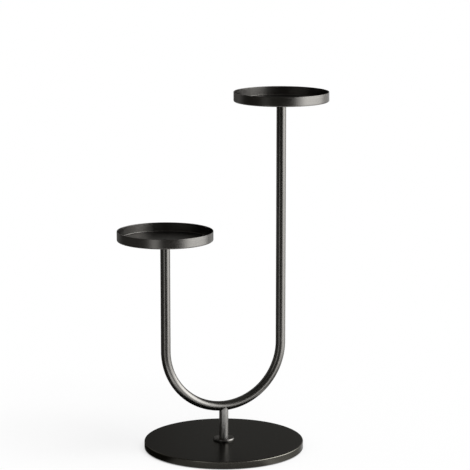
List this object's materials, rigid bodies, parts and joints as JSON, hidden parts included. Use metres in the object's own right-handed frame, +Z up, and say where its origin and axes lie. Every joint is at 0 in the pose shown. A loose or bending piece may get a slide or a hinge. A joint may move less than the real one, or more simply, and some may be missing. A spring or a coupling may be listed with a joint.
{
  "type": "corner plant stand",
  "caption": "Free-standing two-tier plant stand: dish trays on the short and tall arm of one bent tube, carried by a post and collar on a weighted round base, satin black metal",
  "frame": {"origin": "on the floor, under the middle of the round base", "axes": "+Z up; X in the plane of the bent tube, with the short arm and the lower tray at -X and the tall arm and the upper tray at +X; Y across that plane"},
  "size_m": [0.496, 0.364, 0.814],
  "materials": {
    "base_black": "satin black, even",
    "tube_black": "satin black, drawn along the tube",
    "tray_black": "satin black, brushed round the rim",
    "plate_black": "matt black",
    "screw_black": "black oxide",
    "zinc_steel": "zinc plated",
    "cast_cement": "cast, rough",
    "pad_rubber": "matt foam rubber"
  },
  "bodies": {
    "root": {"base_cover": "base_black", "base_bottom_plate": "plate_black", "base_ballast": "cast_cement", "floor_pads": "pad_rubber", "base_bolt": "zinc_steel", "base_washer": "zinc_steel", "base_spring_washer": "zinc_steel", "post_plug": "zinc_steel", "post_collar": "tube_black", "post_tube": "tube_black", "post_weld": "tube_black", "frame_tube": "tube_black", "lower_tray": "tray_black", "lower_tray_disc": "tube_black", "lower_disc_weld": "tube_black", "lower_weld_nut": "zinc_steel", "lower_tray_screw": "screw_black", "upper_tray": "tray_black", "upper_tray_disc": "tube_black", "upper_disc_weld": "tube_black", "upper_weld_nut": "zinc_steel", "upper_tray_screw": "screw_black"}
  },
  "joints": []
}
